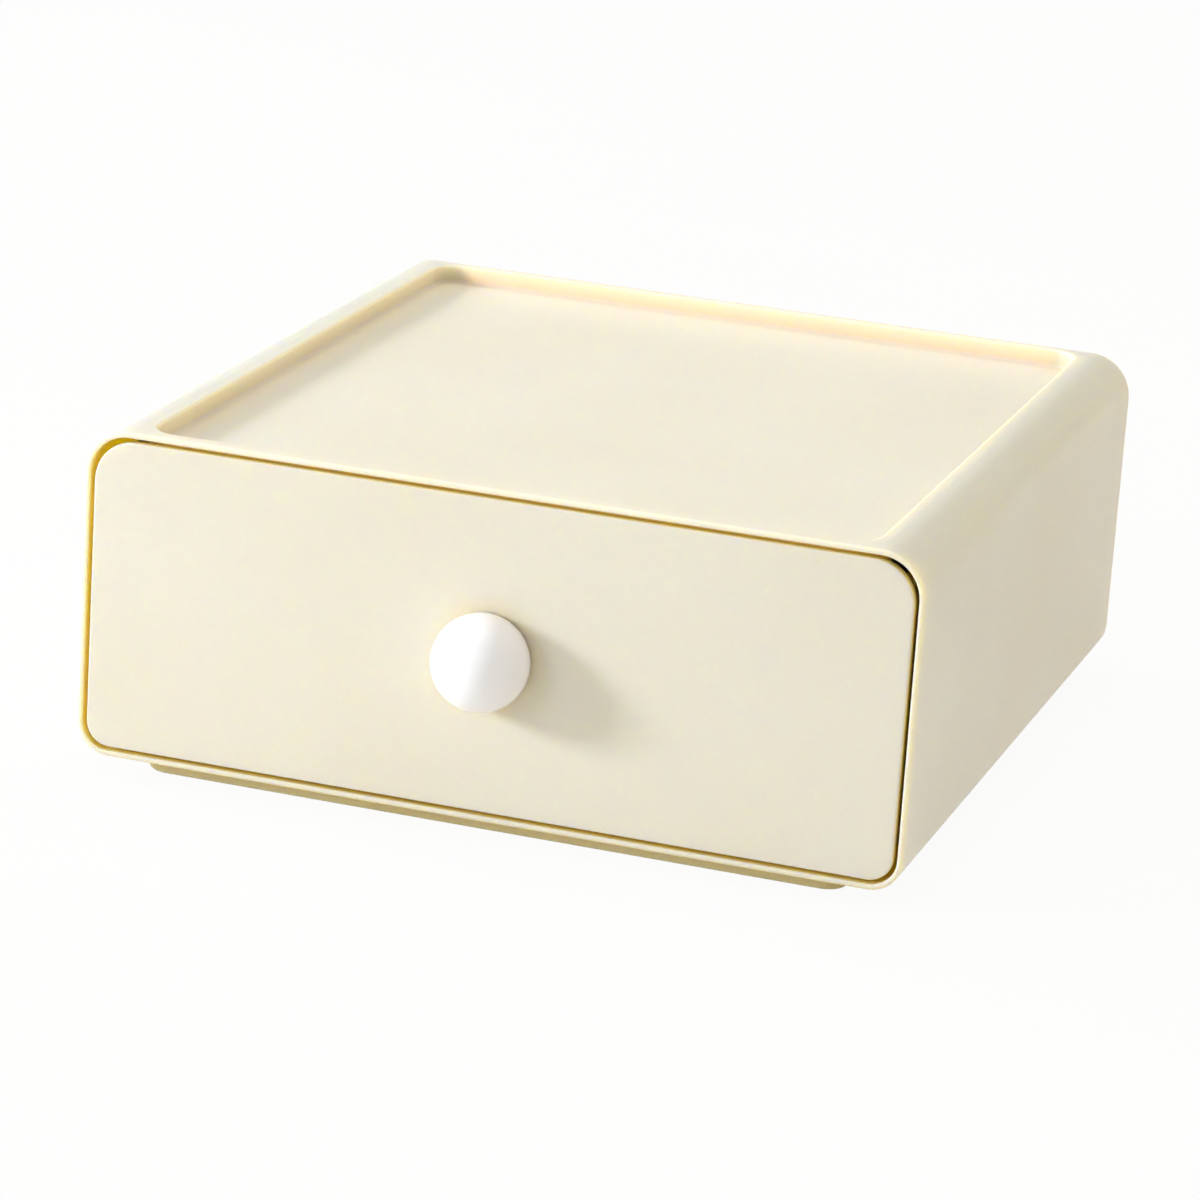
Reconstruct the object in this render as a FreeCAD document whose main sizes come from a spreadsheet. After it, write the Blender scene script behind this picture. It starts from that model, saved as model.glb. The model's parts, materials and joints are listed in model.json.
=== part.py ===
# Stackable drawer box: a rounded housing, open at the front, and a drawer that slides out of it.
# Units are millimetres. X runs to the right, Y to the back and Z up. The origin lies on the surface
# that the box stands on, under the middle of its outline with the knob.
import FreeCAD, Part
import Sketcher
import math
import os

# Driving dimensions
SIZES = {
    # housing: outer shell
    "housing_width": 180.0,
    "housing_depth": 180.0,
    "housing_height": 70.8,
    "corner_radius": 9.6,
    "low_corner_radius": 7.0,
    "wall": 1.2,
    "back_wall": 1.6,
    "lip_outer_round": 0.6,
    "lip_inner_chamfer": 0.3,
    "rear_round": 1.2,
    # housing: recess in the top that takes the foot of the box above
    "recess_depth": 4.2,
    "recess_side_margin": 12.2,
    "recess_front_margin": 4.0,
    "recess_rear_margin": 3.0,
    "recess_corner": 6.0,
    "recess_wall": 1.4,
    "recess_floor": 1.8,
    "recess_rim_round": 0.6,
    "recess_floor_round": 1.0,
    # housing: foot ring under the floor, with its ribs and pad seats
    "stack_clearance": 1.0,
    "foot_drop": 3.5,
    "foot_wall": 2.0,
    "foot_chamfer": 0.5,
    "underside_rib": 1.2,
    "underside_rib_drop": 2.0,
    "seat_clearance": 0.2,
    "seat_wall": 1.4,
    "seat_depth": 1.0,
    "seat_corner_gap": 1.5,
    # housing: runners and drawer stops on the floor
    "runner_spacing": 104.0,
    "runner_width": 3.0,
    "runner_height": 1.2,
    "runner_setback": 6.0,
    "stop_spacing": 46.0,
    "stop_width": 18.0,
    "stop_height": 1.0,
    "stop_thickness": 2.0,
    "stop_setback": 10.0,
    # anti-slip pads
    "pad_radius": 5.0,
    "pad_stand": 0.3,
    "pad_chamfer": 0.25,
    # drawer front
    "front_thickness": 2.0,
    "front_inset": 0.2,
    "front_corner": 9.0,
    "front_low_corner": 5.2,
    "front_round": 0.5,
    "front_side_gap": 0.9,
    "front_top_gap": 0.9,
    "front_bottom_gap": 0.8,
    "peg_radius": 2.0,
    "peg_clearance": 0.1,
    "peg_edge_distance": 14.0,
    # drawer tray
    "tray_wall": 1.8,
    "tray_corner": 5.0,
    "tray_floor_round": 4.0,
    "tray_side_clearance": 3.6,
    "tray_rear_clearance": 2.2,
    "tray_top_clearance": 1.0,
    "rim_setback": 0.5,
    "rim_width": 1.0,
    "rim_height": 1.8,
    "runner_clearance": 0.2,
    "skid_width": 1.2,
    "skid_setback": 8.0,
    "skid_side_clearance": 0.4,
    "skid_floor_clearance": 0.4,
    "catch_thickness": 2.0,
    "catch_floor_clearance": 0.3,
    "drawer_hold": 50.0,
    # knob and its fixing
    "knob_radius": 10.2,
    "knob_centre_height": 4.0,
    "insert_radius": 2.8,
    "insert_length": 8.0,
    "insert_groove_width": 1.6,
    "insert_groove_depth": 0.4,
    "insert_clearance": 0.05,
    "bore_spare": 1.0,
    "screw_radius": 2.0,
    "screw_length": 12.0,
    "screw_tip_chamfer": 0.5,
    "thread_clearance": 0.05,
    "screw_hole_clearance": 0.2,
    "head_radius": 3.9,
    "head_height": 2.6,
    "head_chamfer": 0.9,
    "slot_width": 1.0,
    "slot_length": 4.4,
    "slot_depth": 1.6,
    "washer_radius": 4.6,
    "washer_thickness": 0.8,
}

# Levels and planes that several pieces share, as expressions in the sheet's names
HALF_WIDTH = "(sizes.housing_width / 2)"
KNOB_REACH = "(sizes.knob_radius + sizes.knob_centre_height - sizes.front_inset)"
FRONT_Y = f"(({KNOB_REACH} - sizes.housing_depth) / 2)"
BACK_Y = f"({FRONT_Y} + sizes.housing_depth)"
SHELL_LOW = "(sizes.pad_stand + sizes.foot_drop)"
SHELL_HIGH = f"({SHELL_LOW} + sizes.housing_height)"
FLOOR_TOP = f"({SHELL_LOW} + sizes.wall)"
RUNNER_TOP = f"({FLOOR_TOP} + sizes.runner_height)"
CEILING = f"({SHELL_HIGH} - sizes.recess_depth - sizes.recess_floor)"
RECESS_SIDE = f"({HALF_WIDTH} - sizes.recess_side_margin)"
RECESS_FRONT = f"({FRONT_Y} + sizes.recess_front_margin)"
RECESS_BACK = f"({BACK_Y} - sizes.recess_rear_margin)"
FOOT_SIDE = f"({RECESS_SIDE} - sizes.stack_clearance)"
FOOT_FRONT = f"({RECESS_FRONT} + sizes.stack_clearance)"
FOOT_BACK = f"({RECESS_BACK} - sizes.stack_clearance)"
FOOT_CORNER = "(sizes.recess_corner - sizes.stack_clearance)"
SEAT_RADIUS = "(sizes.pad_radius + sizes.seat_clearance)"
SEAT_OUTER = f"({SEAT_RADIUS} + sizes.seat_wall)"
SEAT_INSET = f"({SEAT_OUTER} + sizes.foot_wall + sizes.seat_corner_gap)"
PAD_SIDE = f"({FOOT_SIDE} - {SEAT_INSET})"
PAD_FRONT = f"({FOOT_FRONT} + {SEAT_INSET})"
PAD_BACK = f"({FOOT_BACK} - {SEAT_INSET})"
PAD_PLACES = {
    "pad_front_left": (f"-{PAD_SIDE}", PAD_FRONT),
    "pad_front_right": (PAD_SIDE, PAD_FRONT),
    "pad_rear_left": (f"-{PAD_SIDE}", PAD_BACK),
    "pad_rear_right": (PAD_SIDE, PAD_BACK),
}
PANEL_SIDE = f"({HALF_WIDTH} - sizes.wall - sizes.front_side_gap)"
PANEL_LOW = f"({FLOOR_TOP} + sizes.front_bottom_gap)"
PANEL_HIGH = f"({SHELL_HIGH} - sizes.wall - sizes.front_top_gap)"
PANEL_FACE = f"({FRONT_Y} + sizes.front_inset)"
PANEL_BACK = f"({PANEL_FACE} + sizes.front_thickness)"
KNOB_HEIGHT = f"(({PANEL_LOW} + {PANEL_HIGH}) / 2)"
TRAY_LOW = f"({RUNNER_TOP} + sizes.runner_clearance)"
TRAY_HIGH = f"({CEILING} - sizes.tray_top_clearance)"
TRAY_SIDE = f"({HALF_WIDTH} - sizes.wall - sizes.tray_side_clearance)"
TRAY_BACK = f"({BACK_Y} - sizes.back_wall - sizes.tray_rear_clearance)"
TRAY_FRONT_INSIDE = f"({PANEL_BACK} + sizes.tray_wall)"
STOP_FRONT = f"({FRONT_Y} + sizes.stop_setback)"
STOP_BACK = f"({STOP_FRONT} + sizes.stop_thickness)"
DRAWER_TRAVEL = "(sizes.housing_depth - sizes.drawer_hold)"
CATCH_FRONT = f"({STOP_BACK} + {DRAWER_TRAVEL})"
PEG_SIDE = f"({TRAY_SIDE} - sizes.peg_edge_distance)"
PEG_PLACES = [(f"-{PEG_SIDE}", KNOB_HEIGHT), (PEG_SIDE, KNOB_HEIGHT)]
SCREW_HOLE = "(sizes.screw_radius + sizes.screw_hole_clearance)"

# Where the ribs under the floor stand, as shares of the foot's width and of its depth
RIB_SHARES = (1 / 3, 2 / 3)

# A sketch starts as a unit square with bends of this share, which its dimensions then move into place.
START_BEND_SHARE = 0.2
# Two places closer than this are the same.
SAME_PLACE = 0.001
# A fillet or chamfer adds to the solid in a hollow corner and takes from it at an outer one.
EITHER_WAY = None

doc = FreeCAD.newDocument("drawer_box")
sheet = doc.addObject("Spreadsheet::Sheet", "sizes")
for row, (alias, number) in enumerate(SIZES.items(), start=1):
    sheet.set(f"A{row}", alias)
    sheet.set(f"B{row}", str(number))
    sheet.setAlias(f"B{row}", alias)
doc.recompute()


def new_body(name):
    """An empty body whose label names the sub-part."""
    body = doc.addObject("PartDesign::Body", name)
    body.Label = name
    return body


def new_sketch(body, name, role, offset=None):
    """A sketch on one of the body's origin planes, moved by an expression along its normal."""
    sketch = body.newObject("Sketcher::SketchObject", name)
    plane = [item for item in body.Origin.OriginFeatures if item.Role == role][0]
    sketch.AttachmentSupport = [(plane, "")]
    sketch.MapMode = "FlatFace"
    if offset:
        sketch.setExpression("AttachmentOffset.Base.z", offset)
    return sketch


def hold(sketch, kind, places, start, expression):
    """A dimension of the sketch that follows an expression."""
    index = sketch.addConstraint(Sketcher.Constraint(kind, *places, start))
    sketch.setExpression(f"Constraints[{index}]", expression)


def draw_rectangle(sketch, left, right, low, high, radius=None, low_radius=None):
    """A rectangle between signed places. Its corners are tangent arcs where a radius is given, and the two
    low ones may have a radius of their own."""
    first = sketch.GeometryCount
    bend = START_BEND_SHARE if radius else 0
    corners = [(-1, -1), (1, -1), (1, 1), (-1, 1)]
    for index, (x, y) in enumerate(corners):
        next_x, next_y = corners[(index + 1) % 4]
        start = FreeCAD.Vector(x, y, 0)
        end = FreeCAD.Vector(next_x, next_y, 0)
        step = (end - start).normalize() * bend
        sketch.addGeometry(Part.LineSegment(start + step, end - step), False)
        sketch.addConstraint(Sketcher.Constraint("Vertical" if index % 2 else "Horizontal", first + index))
    for index in range(4):
        before, after = (first + index, 2), (first + (index + 1) % 4, 1)
        if not radius:
            sketch.addConstraint(Sketcher.Constraint("Coincident", *before, *after))
            continue
        x, y = corners[(index + 1) % 4]
        centre = FreeCAD.Vector(x, y, 0) * (1 - START_BEND_SHARE)
        circle = Part.Circle(centre, FreeCAD.Vector(0, 0, 1), START_BEND_SHARE)
        turn = math.pi / 2
        arc = Part.ArcOfCircle(circle, (index - 1) * turn, index * turn)
        corner = sketch.addGeometry(arc, False)
        sketch.addConstraint(Sketcher.Constraint("Tangent", *before, corner, 1))
        sketch.addConstraint(Sketcher.Constraint("Tangent", corner, 2, *after))
    if radius:
        low_right, high_right, high_left, low_left = range(first + 4, first + 8)
        for one, other, size in ((low_right, low_left, low_radius or radius), (high_right, high_left, radius)):
            sketch.addConstraint(Sketcher.Constraint("Equal", one, other))
            hold(sketch, "Radius", (one,), START_BEND_SHARE, size)
    hold(sketch, "DistanceX", (-1, 1, first + 3, 1), -1, left)
    hold(sketch, "DistanceX", (-1, 1, first + 1, 1), 1, right)
    hold(sketch, "DistanceY", (-1, 1, first, 1), -1, low)
    hold(sketch, "DistanceY", (-1, 1, first + 2, 1), 1, high)


def draw_circle(sketch, x, y, radius):
    """A circle about a signed place."""
    start = FreeCAD.Vector(1, 1, 0)
    circle = sketch.addGeometry(Part.Circle(start, FreeCAD.Vector(0, 0, 1), START_BEND_SHARE), False)
    hold(sketch, "Radius", (circle,), START_BEND_SHARE, radius)
    hold(sketch, "DistanceX", (-1, 1, circle, 3), 1, x)
    hold(sketch, "DistanceY", (-1, 1, circle, 3), 1, y)


def finish_feature(feature, grows):
    """Recomputes a new feature, and stops if the solid's volume didn't change the way that it should."""
    doc.recompute()
    if "Invalid" in feature.State or not feature.Shape.isValid():
        raise RuntimeError(f"{feature.Label} failed")
    before = feature.BaseFeature.Shape.Volume if feature.BaseFeature else 0
    change = feature.Shape.Volume - before
    if abs(change) < SAME_PLACE or grows not in (change > 0, EITHER_WAY):
        raise RuntimeError(f"{feature.Label} changed the volume by {change}")


def add_pad(body, name, sketch, length, against_normal=False):
    """Material raised from a sketch along its normal, or against it. Returns the length."""
    pad = body.newObject("PartDesign::Pad", name)
    pad.Profile = sketch
    pad.Reversed = against_normal
    pad.setExpression("Length", length)
    finish_feature(pad, True)
    return pad.Length.Value


def add_pocket(body, name, sketch, length, along_normal=False):
    """Material cut away from a sketch against its normal, or along it. Returns the depth."""
    pocket = body.newObject("PartDesign::Pocket", name)
    pocket.Profile = sketch
    pocket.Reversed = along_normal
    pocket.setExpression("Length", length)
    finish_feature(pocket, False)
    return pocket.Length.Value


def flat_face(shape, axis, place):
    """The largest flat face of a shape that lies in a plane square to an axis, 0 to 2, at a place on it."""
    def lies_there(face):
        box = face.BoundBox
        low = (box.XMin, box.YMin, box.ZMin)[axis]
        high = (box.XMax, box.YMax, box.ZMax)[axis]
        return abs(low - place) < SAME_PLACE and abs(high - place) < SAME_PLACE
    return max(filter(lies_there, shape.Faces), key=lambda face: face.Wires[0].BoundBox.DiagonalLength)


def ease_wire(body, name, wire, kind, size):
    """A fillet or a chamfer along every edge of one wire of the body's solid."""
    base = body.Tip
    edges = enumerate(base.Shape.Edges, start=1)
    names = [f"Edge{index}" for index, edge in edges if any(edge.isSame(other) for other in wire.Edges)]
    feature = body.newObject(f"PartDesign::{kind}", name)
    feature.Base = (base, names)
    feature.setExpression("Radius" if kind == "Fillet" else "Size", size)
    finish_feature(feature, EITHER_WAY)


def inner_wire(face):
    """The longest wire of a face apart from its outer one."""
    others = [wire for wire in face.Wires if not wire.isSame(face.OuterWire)]
    return max(others, key=lambda wire: wire.Length)


def add_shell(body):
    """The rounded tube of the housing, closed at the back, with soft edges."""
    outline = new_sketch(body, "shell_outline", "XZ_Plane", f"-{FRONT_Y}")
    draw_rectangle(outline, f"-{HALF_WIDTH}", HALF_WIDTH, SHELL_LOW, SHELL_HIGH, "sizes.corner_radius",
                   "sizes.low_corner_radius")
    length = add_pad(body, "shell", outline, "sizes.housing_depth", against_normal=True)
    front_y = outline.Placement.Base.y
    rear = flat_face(body.Tip.Shape, 1, front_y + length)
    ease_wire(body, "rear_edge", rear.OuterWire, "Fillet", "sizes.rear_round")
    inside = new_sketch(body, "cavity_outline", "XZ_Plane", f"-{FRONT_Y}")
    inner_side = f"({HALF_WIDTH} - sizes.wall)"
    draw_rectangle(inside, f"-{inner_side}", inner_side, FLOOR_TOP, f"{SHELL_HIGH} - sizes.wall",
                   "sizes.corner_radius - sizes.wall", "sizes.low_corner_radius - sizes.wall")
    add_pocket(body, "cavity", inside, "sizes.housing_depth - sizes.back_wall")
    front = flat_face(body.Tip.Shape, 1, front_y)
    ease_wire(body, "lip_outside", front.OuterWire, "Fillet", "sizes.lip_outer_round")
    front = flat_face(body.Tip.Shape, 1, front_y)
    ease_wire(body, "lip_inside", inner_wire(front), "Chamfer", "sizes.lip_inner_chamfer")


def add_recess(body):
    """The stepped top: a shallow tray with its own walls, sunk into the housing."""
    block = new_sketch(body, "recess_block_outline", "XY_Plane", CEILING)
    side = f"({RECESS_SIDE} + sizes.recess_wall)"
    draw_rectangle(block, f"-{side}", side, f"{RECESS_FRONT} - sizes.recess_wall",
                   f"{RECESS_BACK} + sizes.recess_wall", "sizes.recess_corner + sizes.recess_wall")
    add_pad(body, "recess_block", block, f"{SHELL_HIGH} - {CEILING} - sizes.wall / 2")
    hollow = new_sketch(body, "recess_outline", "XY_Plane", SHELL_HIGH)
    draw_rectangle(hollow, f"-{RECESS_SIDE}", RECESS_SIDE, RECESS_FRONT, RECESS_BACK, "sizes.recess_corner")
    depth = add_pocket(body, "recess", hollow, "sizes.recess_depth")
    rim_z = hollow.Placement.Base.z
    floor = flat_face(body.Tip.Shape, 2, rim_z - depth)
    ease_wire(body, "recess_floor_edge", floor.OuterWire, "Fillet", "sizes.recess_floor_round")
    rim = flat_face(body.Tip.Shape, 2, rim_z)
    ease_wire(body, "recess_rim_edge", inner_wire(rim), "Fillet", "sizes.recess_rim_round")


def add_foot(body):
    """The ring that nests in the recess of the box below, and the seats of the pads in its corners."""
    root = f"({SHELL_LOW} + sizes.wall / 2)"
    ring = new_sketch(body, "foot_outline", "XY_Plane", root)
    draw_rectangle(ring, f"-{FOOT_SIDE}", FOOT_SIDE, FOOT_FRONT, FOOT_BACK, FOOT_CORNER)
    inner_side = f"({FOOT_SIDE} - sizes.foot_wall)"
    draw_rectangle(ring, f"-{inner_side}", inner_side, f"{FOOT_FRONT} + sizes.foot_wall",
                   f"{FOOT_BACK} - sizes.foot_wall", f"{FOOT_CORNER} - sizes.foot_wall")
    length = add_pad(body, "foot_ring", ring, f"{root} - sizes.pad_stand", against_normal=True)
    bottom = flat_face(body.Tip.Shape, 2, ring.Placement.Base.z - length)
    ease_wire(body, "foot_edge", bottom.OuterWire, "Chamfer", "sizes.foot_chamfer")
    bosses = new_sketch(body, "seat_boss_outline", "XY_Plane", root)
    seats = new_sketch(body, "seat_outline", "XY_Plane", "sizes.pad_stand")
    for x, y in PAD_PLACES.values():
        draw_circle(bosses, x, y, SEAT_OUTER)
        draw_circle(seats, x, y, SEAT_RADIUS)
    add_pad(body, "seat_bosses", bosses, f"{root} - sizes.pad_stand", against_normal=True)
    add_pocket(body, "seats", seats, "sizes.seat_depth", along_normal=True)


def add_ribs(body):
    """A grid of low ribs that stiffens the floor inside the foot ring."""
    root = f"({SHELL_LOW} + sizes.wall / 2)"
    low_y, high_y = f"({FOOT_FRONT} + sizes.foot_wall / 2)", f"({FOOT_BACK} - sizes.foot_wall / 2)"
    side = f"({FOOT_SIDE} - sizes.foot_wall / 2)"
    half_rib = "sizes.underside_rib / 2"
    for number, share in enumerate(RIB_SHARES, start=1):
        x = f"({share} * 2 * {side} - {side})"
        y = f"({low_y} + {share} * ({high_y} - {low_y}))"
        for name, edges in ((f"rib_lengthwise_{number}", (f"{x} - {half_rib}", f"{x} + {half_rib}", low_y, high_y)),
                            (f"rib_across_{number}", (f"-{side}", side, f"{y} - {half_rib}", f"{y} + {half_rib}"))):
            rib = new_sketch(body, f"{name}_outline", "XY_Plane", root)
            draw_rectangle(rib, *edges)
            add_pad(body, name, rib, "sizes.wall / 2 + sizes.underside_rib_drop", against_normal=True)


def add_runners(body):
    """Two runners that the drawer slides on, and the two low stops that end its travel."""
    root = f"({FLOOR_TOP} - sizes.wall / 2)"
    runners = new_sketch(body, "runner_outline", "XY_Plane", root)
    stops = new_sketch(body, "stop_outline", "XY_Plane", root)
    for sign in ("-", ""):
        runner = f"{sign}sizes.runner_spacing / 2"
        draw_rectangle(runners, f"{runner} - sizes.runner_width / 2", f"{runner} + sizes.runner_width / 2",
                       f"{FRONT_Y} + sizes.runner_setback", f"{BACK_Y} - sizes.back_wall / 2")
        stop = f"{sign}sizes.stop_spacing / 2"
        draw_rectangle(stops, f"{stop} - sizes.stop_width / 2", f"{stop} + sizes.stop_width / 2",
                       STOP_FRONT, STOP_BACK)
    add_pad(body, "runners", runners, "sizes.wall / 2 + sizes.runner_height")
    add_pad(body, "stops", stops, "sizes.wall / 2 + sizes.stop_height")


def make_housing():
    """The one-piece moulded housing."""
    body = new_body("housing")
    add_shell(body)
    add_recess(body)
    add_foot(body)
    add_ribs(body)
    add_runners(body)
    return body


def make_tray():
    """The open drawer tray with its rim, skids and catches."""
    body = new_body("drawer_tray")
    block = new_sketch(body, "tray_outline", "XY_Plane", TRAY_LOW)
    draw_rectangle(block, f"-{TRAY_SIDE}", TRAY_SIDE, PANEL_BACK, TRAY_BACK, "sizes.tray_corner")
    add_pad(body, "tray_block", block, f"{TRAY_HIGH} - {TRAY_LOW}")
    bottom = flat_face(body.Tip.Shape, 2, block.Placement.Base.z)
    ease_wire(body, "tray_bottom_edge", bottom.OuterWire, "Fillet", "sizes.tray_floor_round")
    hollow = new_sketch(body, "hollow_outline", "XY_Plane", TRAY_HIGH)
    side = f"({TRAY_SIDE} - sizes.tray_wall)"
    draw_rectangle(hollow, f"-{side}", side, TRAY_FRONT_INSIDE, f"{TRAY_BACK} - sizes.tray_wall",
                   "sizes.tray_corner - sizes.tray_wall")
    depth = add_pocket(body, "tray_hollow", hollow, f"{TRAY_HIGH} - {TRAY_LOW} - sizes.tray_wall")
    floor = flat_face(body.Tip.Shape, 2, hollow.Placement.Base.z - depth)
    ease_wire(body, "tray_floor_edge", floor.OuterWire, "Fillet", "sizes.tray_floor_round - sizes.tray_wall")
    add_rim(body)
    add_skids(body)
    add_front_holes(body)
    return body


def add_rim(body):
    """The band round the tray's mouth, which runs into the tray's front corners behind the drawer front."""
    rim = new_sketch(body, "rim_outline", "XY_Plane", TRAY_HIGH)
    side = f"({TRAY_SIDE} + sizes.rim_width)"
    draw_rectangle(rim, f"-{side}", side, f"{PANEL_BACK} + sizes.rim_setback", f"{TRAY_BACK} + sizes.rim_width",
                   "sizes.tray_corner + sizes.rim_width")
    inside = f"({TRAY_SIDE} - sizes.tray_wall / 2)"
    draw_rectangle(rim, f"-{inside}", inside, f"{PANEL_BACK} + sizes.tray_wall / 2",
                   f"{TRAY_BACK} - sizes.tray_wall / 2", "sizes.tray_corner - sizes.tray_wall / 2")
    add_pad(body, "rim", rim, "sizes.rim_height", against_normal=True)


def add_skids(body):
    """Pairs of skids that straddle the runners, and the catches that meet the housing's stops."""
    root = f"({TRAY_LOW} + sizes.tray_wall / 2)"
    skids = new_sketch(body, "skid_outline", "XY_Plane", root)
    near = "(sizes.runner_width / 2 + sizes.skid_side_clearance)"
    far = f"({near} + sizes.skid_width)"
    for sign in ("-", ""):
        runner = f"{sign}sizes.runner_spacing / 2"
        for inner, outer in ((f"{runner} - {far}", f"{runner} - {near}"), (f"{runner} + {near}", f"{runner} + {far}")):
            draw_rectangle(skids, inner, outer, f"{PANEL_BACK} + sizes.skid_setback",
                           f"{TRAY_BACK} - sizes.skid_setback")
    add_pad(body, "skids", skids, f"{root} - {FLOOR_TOP} - sizes.skid_floor_clearance", against_normal=True)
    catches = new_sketch(body, "catch_outline", "XY_Plane", root)
    for sign in ("-", ""):
        stop = f"{sign}sizes.stop_spacing / 2"
        draw_rectangle(catches, f"{stop} - sizes.stop_width / 2", f"{stop} + sizes.stop_width / 2",
                       CATCH_FRONT, f"{CATCH_FRONT} + sizes.catch_thickness")
    add_pad(body, "catches", catches, f"{root} - {FLOOR_TOP} - sizes.catch_floor_clearance", against_normal=True)


def add_front_holes(body):
    """Holes in the tray's front wall for the drawer front's pegs and the knob's screw."""
    holes = new_sketch(body, "front_hole_outline", "XZ_Plane", f"-{PANEL_BACK}")
    for x, z in PEG_PLACES:
        draw_circle(holes, x, z, "sizes.peg_radius + sizes.peg_clearance")
    draw_circle(holes, "0", KNOB_HEIGHT, SCREW_HOLE)
    add_pocket(body, "front_holes", holes, "2 * sizes.tray_wall")


def make_drawer_front():
    """The flat drawer front with its rounded outline, and the pegs that place it on the tray."""
    body = new_body("drawer_front")
    outline = new_sketch(body, "panel_outline", "XZ_Plane", f"-{PANEL_FACE}")
    draw_rectangle(outline, f"-{PANEL_SIDE}", PANEL_SIDE, PANEL_LOW, PANEL_HIGH, "sizes.front_corner",
                   "sizes.front_low_corner")
    draw_circle(outline, "0", KNOB_HEIGHT, SCREW_HOLE)
    add_pad(body, "panel", outline, "sizes.front_thickness", against_normal=True)
    front = flat_face(body.Tip.Shape, 1, outline.Placement.Base.y)
    ease_wire(body, "panel_edge", front.OuterWire, "Fillet", "sizes.front_round")
    pegs = new_sketch(body, "peg_outline", "XZ_Plane", f"-{PANEL_BACK}")
    for x, z in PEG_PLACES:
        draw_circle(pegs, x, z, "sizes.peg_radius")
    add_pad(body, "pegs", pegs, "sizes.tray_wall", against_normal=True)
    return body


def place_on_knob_axis(piece, y):
    """Turns a piece made along Z to point out of the drawer's front, on the knob's axis at a place in Y."""
    piece.Placement = FreeCAD.Placement(FreeCAD.Vector(0, 0, 0), FreeCAD.Rotation(FreeCAD.Vector(1, 0, 0), 90))
    piece.setExpression("Placement.Base.y", y)
    piece.setExpression("Placement.Base.z", KNOB_HEIGHT)


def make_knob():
    """The ball knob: a ball cut flat where it seats on the drawer front, bored for its insert."""
    ball = doc.addObject("Part::Sphere", "knob_ball")
    ball.setExpression("Radius", "sizes.knob_radius")
    ball.setExpression("Angle1", "-asin(sizes.knob_centre_height / sizes.knob_radius)")
    ball.setExpression("Placement.Base.z", "sizes.knob_centre_height")
    bore = doc.addObject("Part::Cylinder", "knob_bore")
    bore.setExpression("Radius", "sizes.insert_radius + sizes.insert_clearance")
    bore.setExpression("Height", "sizes.insert_length + sizes.bore_spare")
    knob = doc.addObject("Part::Cut", "knob")
    knob.Base = ball
    knob.Tool = bore
    knob.Label = "knob"
    place_on_knob_axis(knob, PANEL_FACE)
    return knob


def make_insert():
    """The brass insert in the knob: a short tube with a groove that the moulding grips."""
    body = new_body("knob_insert")
    section = new_sketch(body, "insert_section", "XY_Plane")
    draw_circle(section, "0", "0", "sizes.insert_radius")
    draw_circle(section, "0", "0", "sizes.screw_radius + sizes.thread_clearance")
    add_pad(body, "insert_tube", section, "sizes.insert_length")
    groove = new_sketch(body, "groove_section", "XY_Plane", "(sizes.insert_length - sizes.insert_groove_width) / 2")
    draw_circle(groove, "0", "0", "sizes.insert_radius + sizes.insert_groove_depth")
    draw_circle(groove, "0", "0", "sizes.insert_radius - sizes.insert_groove_depth")
    add_pocket(body, "groove", groove, "sizes.insert_groove_width", along_normal=True)
    place_on_knob_axis(body, PANEL_FACE)
    return body


def make_screw():
    """The pan-head screw that clamps the knob, the drawer front and the tray together."""
    body = new_body("knob_screw")
    head = new_sketch(body, "head_outline", "XY_Plane")
    draw_circle(head, "0", "0", "sizes.head_radius")
    height = add_pad(body, "head", head, "sizes.head_height", against_normal=True)
    crown = flat_face(body.Tip.Shape, 2, -height)
    ease_wire(body, "head_crown", crown.OuterWire, "Chamfer", "sizes.head_chamfer")
    shank = new_sketch(body, "shank_outline", "XY_Plane")
    draw_circle(shank, "0", "0", "sizes.screw_radius")
    length = add_pad(body, "shank", shank, "sizes.screw_length")
    tip = flat_face(body.Tip.Shape, 2, length)
    ease_wire(body, "shank_tip", tip.OuterWire, "Chamfer", "sizes.screw_tip_chamfer")
    long_way, short_way = "sizes.slot_length / 2", "sizes.slot_width / 2"
    for name, x, y in (("slot_across", long_way, short_way), ("slot_upright", short_way, long_way)):
        slot = new_sketch(body, f"{name}_outline", "XY_Plane", "-sizes.head_height")
        draw_rectangle(slot, f"-{x}", x, f"-{y}", y)
        add_pocket(body, name, slot, "sizes.slot_depth", along_normal=True)
    place_on_knob_axis(body, f"{TRAY_FRONT_INSIDE} + sizes.washer_thickness")
    return body


def make_washer():
    """The flat washer under the screw's head."""
    body = new_body("knob_washer")
    section = new_sketch(body, "washer_section", "XY_Plane")
    draw_circle(section, "0", "0", "sizes.washer_radius")
    draw_circle(section, "0", "0", SCREW_HOLE)
    add_pad(body, "washer", section, "sizes.washer_thickness", against_normal=True)
    place_on_knob_axis(body, TRAY_FRONT_INSIDE)
    return body


def make_pad(name, x, y):
    """One round anti-slip pad, glued into its seat in the foot."""
    body = new_body(name)
    outline = new_sketch(body, f"{name}_outline", "XY_Plane")
    draw_circle(outline, "0", "0", "sizes.pad_radius")
    add_pad(body, f"{name}_disc", outline, "sizes.pad_stand + sizes.seat_depth")
    tread = flat_face(body.Tip.Shape, 2, 0)
    ease_wire(body, f"{name}_edge", tread.OuterWire, "Chamfer", "sizes.pad_chamfer")
    body.setExpression("Placement.Base.x", x)
    body.setExpression("Placement.Base.y", y)
    return body


def check_document():
    """Stops if any object of the document failed to recompute."""
    for item in doc.Objects:
        if {"Invalid", "Error"} & set(item.State):
            raise RuntimeError(f"{item.Label} is in state {item.State}")


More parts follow.
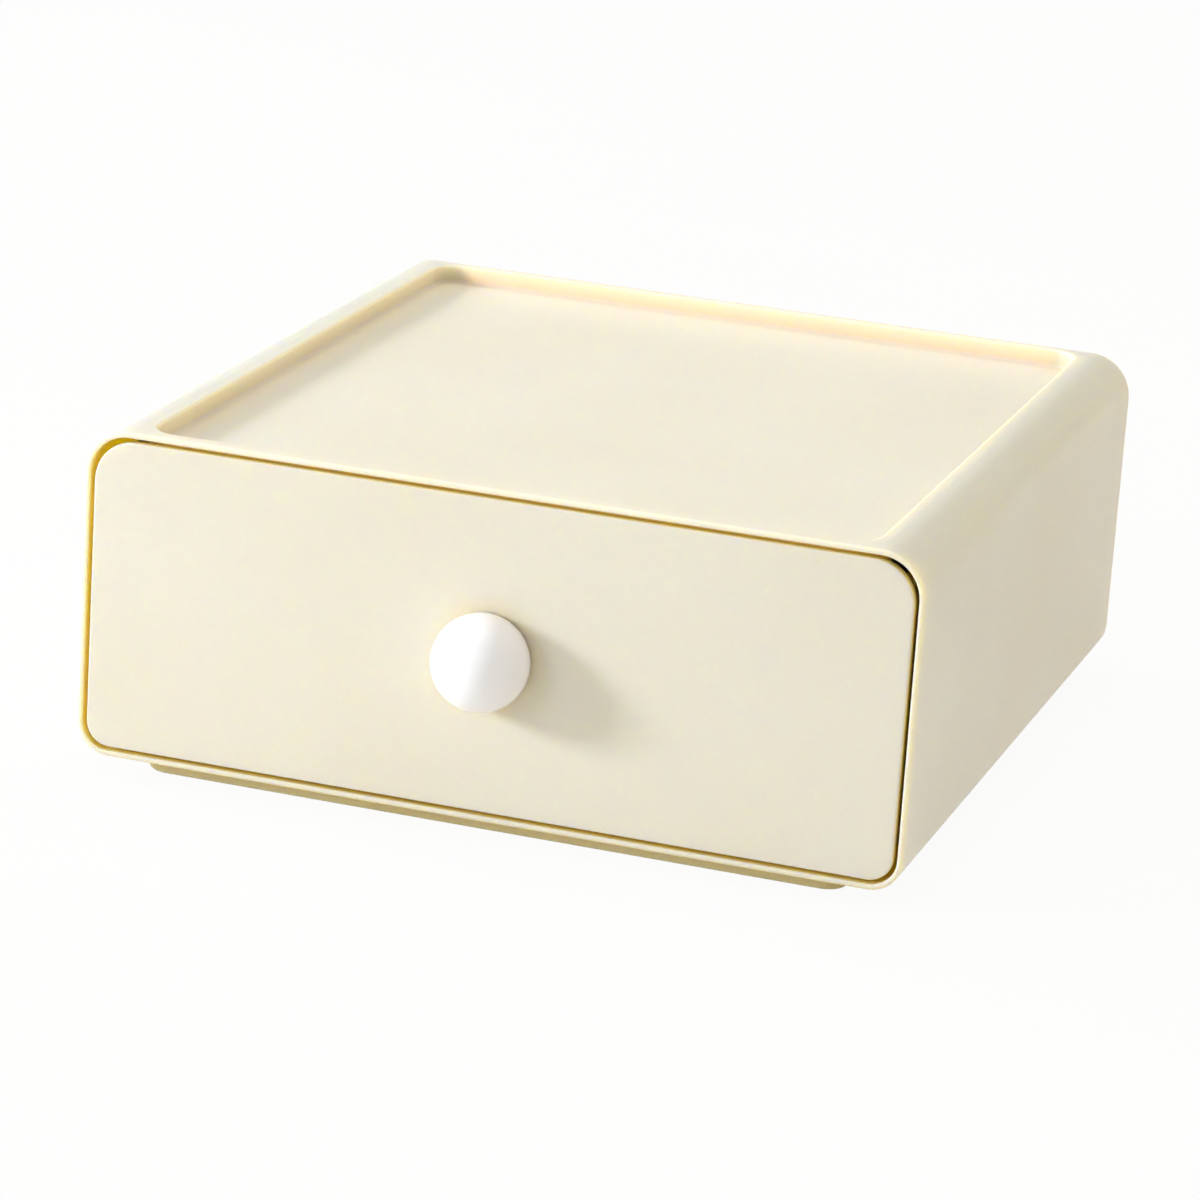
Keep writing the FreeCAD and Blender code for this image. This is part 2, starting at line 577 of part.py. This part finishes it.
def write_piece(piece):
    """Checks one sub-part's solid and writes its STEP file."""
    shape = piece.Shape
    if shape.isNull() or not shape.isValid() or len(shape.Solids) != 1:
        raise RuntimeError(f"{piece.Label} isn't one valid solid")
    shape.exportStep(f"parts/{piece.Label}.step")
    box = shape.BoundBox
    print(f"{piece.Label}: volume {shape.Volume:.0f}, X {box.XMin:.2f} to {box.XMax:.2f}, "
          f"Y {box.YMin:.2f} to {box.YMax:.2f}, Z {box.ZMin:.2f} to {box.ZMax:.2f}")


pieces = [make_housing(), make_tray(), make_drawer_front(), make_knob(), make_insert(), make_screw(), make_washer()]
pieces += [make_pad(name, x, y) for name, (x, y) in PAD_PLACES.items()]
doc.recompute()
check_document()
os.makedirs("parts", exist_ok=True)
for piece in pieces:
    write_piece(piece)
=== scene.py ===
# Looks for the stackable drawer box: materials, a pale floor, lamps and the camera.
# Units are metres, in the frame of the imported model.
import json
import math
import bpy
from mathutils import Matrix, Vector


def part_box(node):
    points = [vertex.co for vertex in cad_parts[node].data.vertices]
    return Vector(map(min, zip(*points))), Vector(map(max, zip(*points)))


MM = 0.001

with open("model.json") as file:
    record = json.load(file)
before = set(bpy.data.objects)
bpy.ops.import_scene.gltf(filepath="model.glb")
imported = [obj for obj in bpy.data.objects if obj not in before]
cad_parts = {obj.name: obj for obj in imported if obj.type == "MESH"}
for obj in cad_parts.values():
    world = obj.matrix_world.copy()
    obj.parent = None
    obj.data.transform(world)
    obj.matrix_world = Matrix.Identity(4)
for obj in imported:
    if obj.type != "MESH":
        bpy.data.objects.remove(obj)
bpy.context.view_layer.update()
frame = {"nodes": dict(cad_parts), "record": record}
nodes = frame["nodes"]


# Materials

def linear(red, green, blue):
    """A colour given as 0 to 255 display values, in scene-linear values."""
    shares = [value / 255 for value in (red, green, blue)]
    return [share / 12.92 if share <= 0.04045 else ((share + 0.055) / 1.055) ** 2.4 for share in shares] + [1]


def new_material(name):
    """A material with its node tree, its Principled shader and a helper that adds linked nodes."""
    material = bpy.data.materials.new(name)
    material.use_nodes = True
    tree = material.node_tree
    shader = tree.nodes["Principled BSDF"]

    def add(kind, links=(), **settings):
        node = tree.nodes.new(kind)
        for key, value in settings.items():
            if hasattr(node, key):
                setattr(node, key, value)
            else:
                node.inputs[key.replace("_", " ")].default_value = value
        for source, socket in links:
            tree.links.new(source, node.inputs[socket])
        return node

    return material, tree, shader, add


def mottle(add, coordinates, low, high, scale):
    """A colour that wanders softly between two shades over the surface."""
    low_share, high_share = 0.35, 0.65
    noise = add("ShaderNodeTexNoise", [(coordinates, "Vector")], Scale=scale, Detail=3.0)
    ramp = add("ShaderNodeValToRGB", [(noise.outputs["Fac"], "Fac")])
    stops = ramp.color_ramp.elements
    stops[0].position, stops[0].color = low_share, low
    stops[1].position, stops[1].color = high_share, high
    return ramp.outputs["Color"]


def wandering_number(add, coordinates, scale, middle, spread):
    """A number that wanders about a middle value over the surface."""
    noise = add("ShaderNodeTexNoise", [(coordinates, "Vector")], Scale=scale, Detail=2.0)
    number = add("ShaderNodeMapRange", [(noise.outputs["Fac"], "Value")], From_Min=0.3, From_Max=0.7,
                 To_Min=middle - spread, To_Max=middle + spread)
    return number.outputs["Result"]


def paint_crevice_shade(add, colour, gap_shade_colour, corner_shade_colour):
    """Painted shade: a colour darkened and deepened in corners, and more in gaps, standing in for the shade
    and many-times-bounced light there.
    """
    gap_share, corner_share, open_share = 0.06, 0.40, 0.85
    # The occlusion node measures how enclosed each point is, and the ramp turns that into painted shade.
    openness = add("ShaderNodeAmbientOcclusion", samples=8, Distance=8.0 * MM)
    shade_ramp = add("ShaderNodeValToRGB", [(openness.outputs["AO"], "Fac")])
    stops = shade_ramp.color_ramp.elements
    stops[0].position, stops[0].color = gap_share, gap_shade_colour
    stops[1].position, stops[1].color = open_share, linear(255, 255, 255)
    stops.new(corner_share).color = corner_shade_colour
    blend = add("ShaderNodeMixRGB", [(colour, "Color1"), (shade_ramp.outputs["Color"], "Color2")],
                blend_type="MULTIPLY", Fac=1.0)
    return blend.outputs["Color"]


def moulded_plastic(name, low, high, roughness, glow, grain, crevice_shade_colours=None):
    """Injection-moulded plastic: faint mottle, uneven sheen, a fine satin grain, light under the skin and,
    where colours are given, painted shade in corners and gaps.
    """
    material, tree, shader, add = new_material(name)
    coordinates = add("ShaderNodeTexCoord").outputs["Object"]
    colour = mottle(add, coordinates, low, high, scale=14.0)
    # Painted shade: the colour is deepened in corners and gaps, where the surface is enclosed.
    if crevice_shade_colours:
        colour = paint_crevice_shade(add, colour, *crevice_shade_colours)
    sheen = wandering_number(add, coordinates, scale=22.0, middle=roughness, spread=0.04)
    fine = add("ShaderNodeTexNoise", [(coordinates, "Vector")], Scale=2600.0, Detail=2.0)
    fine_bump = add("ShaderNodeBump", [(fine.outputs["Fac"], "Height")], Strength=grain, Distance=0.02 * MM)
    slow = add("ShaderNodeTexNoise", [(coordinates, "Vector")], Scale=30.0, Detail=1.0)
    slow_bump = add("ShaderNodeBump", [(slow.outputs["Fac"], "Height"),
                                       (fine_bump.outputs["Normal"], "Normal")],
                    Strength=0.12, Distance=0.15 * MM)
    tree.links.new(colour, shader.inputs["Base Color"])
    tree.links.new(sheen, shader.inputs["Roughness"])
    tree.links.new(slow_bump.outputs["Normal"], shader.inputs["Normal"])
    shader.inputs["IOR"].default_value = 1.5
    shader.inputs["Specular IOR Level"].default_value = 0.35
    shader.inputs["Subsurface Weight"].default_value = glow
    shader.inputs["Subsurface Radius"].default_value = (1.0, 0.75, 0.16)
    shader.inputs["Subsurface Scale"].default_value = 4.5 * MM
    return material


def turned_metal(name, low, high, roughness):
    """Metal with a fine grain that runs round the Y axis."""
    material, tree, shader, add = new_material(name)
    coordinates = add("ShaderNodeTexCoord").outputs["Object"]
    stretched = add("ShaderNodeMapping", [(coordinates, "Vector")], Scale=(1.0, 8.0, 1.0)).outputs["Vector"]
    sheen = wandering_number(add, stretched, scale=500.0, middle=roughness, spread=0.08)
    grain = add("ShaderNodeTexNoise", [(stretched, "Vector")], Scale=900.0, Detail=2.0)
    bump = add("ShaderNodeBump", [(grain.outputs["Fac"], "Height")], Strength=0.15, Distance=0.02 * MM)
    tree.links.new(mottle(add, coordinates, low, high, scale=300.0), shader.inputs["Base Color"])
    tree.links.new(sheen, shader.inputs["Roughness"])
    tree.links.new(bump.outputs["Normal"], shader.inputs["Normal"])
    shader.inputs["Metallic"].default_value = 1.0
    return material


def soft_rubber(name, low, high):
    """Matt rubber with a fine pebbled skin."""
    material, tree, shader, add = new_material(name)
    coordinates = add("ShaderNodeTexCoord").outputs["Object"]
    sheen = wandering_number(add, coordinates, scale=200.0, middle=0.8, spread=0.1)
    pebbles = add("ShaderNodeTexVoronoi", [(coordinates, "Vector")], Scale=1800.0)
    bump = add("ShaderNodeBump", [(pebbles.outputs["Distance"], "Height")], Strength=0.4, Distance=0.05 * MM)
    tree.links.new(mottle(add, coordinates, low, high, scale=240.0), shader.inputs["Base Color"])
    tree.links.new(sheen, shader.inputs["Roughness"])
    tree.links.new(bump.outputs["Normal"], shader.inputs["Normal"])
    return material


LOOKS = {
    "cream_plastic": moulded_plastic("cream_plastic_look", linear(242, 227, 208), linear(246, 231, 214),
                                     roughness=0.34, glow=1.0, grain=0.06,
                                     # Painted shade for the cream plastic: a yellow colour for gaps and a
                                     # paler one for corners.
                                     crevice_shade_colours=(linear(248, 236, 140), linear(250, 240, 214))),
    "white_plastic": moulded_plastic("white_plastic_look", linear(247, 249, 254), linear(250, 252, 255),
                                     roughness=0.22, glow=0.1, grain=0.02),
    "brass": turned_metal("brass_look", linear(196, 160, 92), linear(222, 188, 118), roughness=0.34),
    "steel": turned_metal("steel_look", linear(176, 179, 183), linear(206, 208, 210), roughness=0.30),
    "pad_rubber": soft_rubber("pad_rubber_look", linear(56, 52, 48), linear(70, 65, 60)),
}

for part in frame["record"]["subparts"]:
    for place in nodes[part["node"]].material_slots:
        place.material = LOOKS[part["material_slot"]]


# Floor and lamps

NEUTRAL = (1.0, 1.0, 1.0)
COOL = (0.97, 1.0, 1.05)
WARM = (1.0, 0.76, 0.40)
SURROUNDINGS_COLOUR = (1.0, 0.97, 0.90)
SURROUNDINGS_STRENGTH = 0.50
LAMP_AIM = Vector((0, 0, 40 * MM))

# Each lamp's direction from the box, distance, width, power in watts and colour.
LAMPS = {
    "key_lamp": ((-0.84, -0.46, 0.29), 1.4, 0.26, 14.0, COOL),
    "window_lamp": ((-0.90, 0.15, 0.40), 1.4, 0.26, 6.5, COOL),
    "front_lamp": ((-0.50, -0.82, 0.28), 1.6, 0.4, 3.5, COOL),
    "right_lamp": ((1.0, 0.35, 0.45), 1.6, 1.2, 7.0, WARM),
    "top_lamp": ((-0.1, 0.1, 1.0), 1.6, 1.4, 8.6, NEUTRAL),
}


def make_floor():
    """A pale floor that shows white to the camera and keeps a faint shadow of the box."""
    reach = 4.0
    white_share = 0.94
    mesh = bpy.data.meshes.new("floor")
    corners = [(-reach, -reach, 0), (reach, -reach, 0), (reach, reach, 0), (-reach, reach, 0)]
    mesh.from_pydata(corners, [], [(0, 1, 2, 3)])
    floor = bpy.data.objects.new("floor", mesh)
    bpy.context.collection.objects.link(floor)
    material, tree, shader, add = new_material("floor_look")
    coordinates = add("ShaderNodeTexCoord").outputs["Object"]
    colour = mottle(add, coordinates, linear(216, 213, 208), linear(222, 219, 214), scale=4.0)
    tree.links.new(colour, shader.inputs["Base Color"])
    shader.inputs["Roughness"].default_value = 0.8
    white = add("ShaderNodeEmission", Strength=1.0)
    path = add("ShaderNodeLightPath")
    seen = add("ShaderNodeMath", [(path.outputs["Is Camera Ray"], 0), (path.outputs["Is Glossy Ray"], 1)],
               operation="MAXIMUM")
    share = add("ShaderNodeMath", [(seen.outputs["Value"], 0)], operation="MULTIPLY")
    share.inputs[1].default_value = white_share
    mix = add("ShaderNodeMixShader", [(share.outputs["Value"], 0), (shader.outputs["BSDF"], 1),
                                      (white.outputs["Emission"], 2)])
    tree.links.new(mix.outputs["Shader"], tree.nodes["Material Output"].inputs["Surface"])
    mesh.materials.append(material)


def add_lamp(name, towards, distance, width, watts, colour):
    """A square area lamp in a direction from the box, facing it."""
    lamp = bpy.data.lights.new(name, "AREA")
    lamp.size = width
    lamp.energy = watts
    lamp.color = colour
    holder = bpy.data.objects.new(name, lamp)
    direction = Vector(towards).normalized()
    holder.location = LAMP_AIM + direction * distance
    holder.rotation_euler = direction.to_track_quat("Z", "Y").to_euler()
    bpy.context.collection.objects.link(holder)


def light_world():
    """Even surroundings of a colour, which the camera sees as plain white."""
    world = bpy.data.worlds.new("surroundings")
    world.use_nodes = True
    tree = world.node_tree
    background = tree.nodes["Background"]
    background.inputs["Color"].default_value = (*SURROUNDINGS_COLOUR, 1)
    background.inputs["Strength"].default_value = SURROUNDINGS_STRENGTH
    backdrop = tree.nodes.new("ShaderNodeBackground")
    backdrop.inputs["Color"].default_value = (*NEUTRAL, 1)
    path = tree.nodes.new("ShaderNodeLightPath")
    seen = tree.nodes.new("ShaderNodeMath")
    seen.operation = "MAXIMUM"
    mix = tree.nodes.new("ShaderNodeMixShader")
    tree.links.new(path.outputs["Is Camera Ray"], seen.inputs[0])
    tree.links.new(path.outputs["Is Transmission Ray"], seen.inputs[1])
    tree.links.new(seen.outputs["Value"], mix.inputs[0])
    tree.links.new(background.outputs["Background"], mix.inputs[1])
    tree.links.new(backdrop.outputs["Background"], mix.inputs[2])
    tree.links.new(mix.outputs["Shader"], tree.nodes["World Output"].inputs["Surface"])
    bpy.context.scene.world = world


make_floor()
light_world()
for name, lamp in LAMPS.items():
    add_lamp(name, *lamp)


# Camera

def place_camera():
    """The photograph's viewpoint: turned round and above the box, with the picture leaning a little."""
    azimuth, elevation, lean = math.radians(17.64), math.radians(17.20), math.radians(3.78)
    distance, right_shift, up_shift = 1078.6 * MM, -5.9 * MM, -11.86 * MM
    focal_pixels, picture_pixels, sensor_mm = 4915.0, 1200.0, 36.0
    shell_low, shell_high = 3.8 * MM, 74.6 * MM
    far_limit = 20.0
    low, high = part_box("housing")
    middle = Vector((0, (low[1] + high[1]) / 2, (shell_low + shell_high) / 2))
    forward = Vector((-math.sin(azimuth) * math.cos(elevation), math.cos(azimuth) * math.cos(elevation),
                      -math.sin(elevation)))
    level_right = forward.cross(Vector((0, 0, 1))).normalized()
    level_up = level_right.cross(forward)
    right = math.cos(lean) * level_right + math.sin(lean) * level_up
    up = -math.sin(lean) * level_right + math.cos(lean) * level_up
    camera = bpy.data.objects.new("camera", bpy.data.cameras.new("camera"))
    camera.data.sensor_width = sensor_mm
    camera.data.lens = focal_pixels / picture_pixels * sensor_mm
    camera.data.clip_end = far_limit
    place = middle - forward * distance + right * right_shift + up * up_shift
    camera.matrix_world = Matrix.Translation(place) @ Matrix((right, up, -forward)).transposed().to_4x4()
    bpy.context.collection.objects.link(camera)
    bpy.context.scene.camera = camera


place_camera()
bpy.context.scene.view_settings.view_transform = "Standard"
